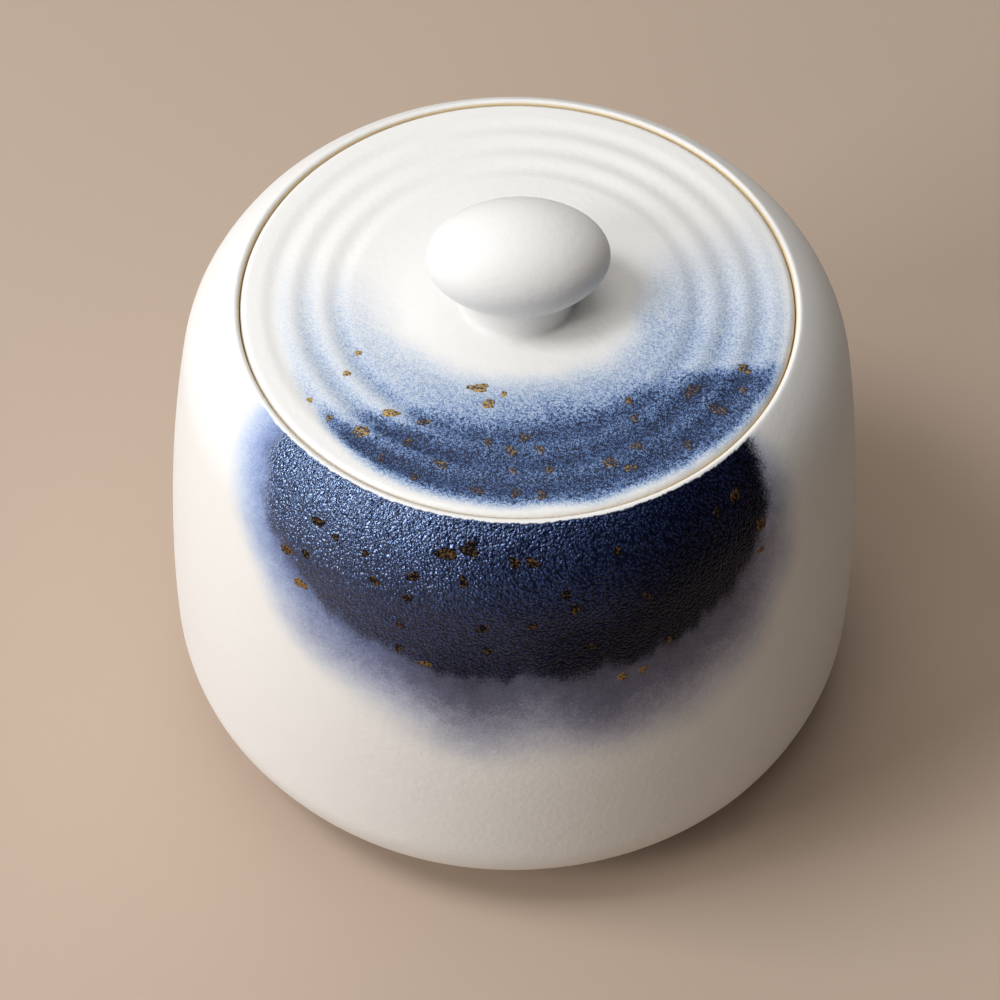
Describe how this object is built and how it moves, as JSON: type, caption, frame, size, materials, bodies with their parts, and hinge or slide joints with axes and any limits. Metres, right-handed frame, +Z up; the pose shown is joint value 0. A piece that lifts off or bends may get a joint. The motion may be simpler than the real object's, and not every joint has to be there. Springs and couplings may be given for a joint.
{
  "type": "funeral urn",
  "caption": "Wide-bellied glazed ceramic urn with a flush lift-off lid, concentric ripples and an oval knob.",
  "frame": {"origin": "centre of the foot, on the surface that the urn stands on", "axes": "+Z up along the urn's centre line, +X along the oval knob, and the blue patch faces -Y"},
  "size_m": [0.15, 0.15, 0.1349],
  "materials": {
    "jar_glaze": "satin white glaze with a sprayed indigo patch",
    "lid_glaze": "satin white glaze with a sprayed blue arc"
  },
  "bodies": {
    "root": {"jar": "jar_glaze", "lid": "lid_glaze"}
  },
  "joints": []
}
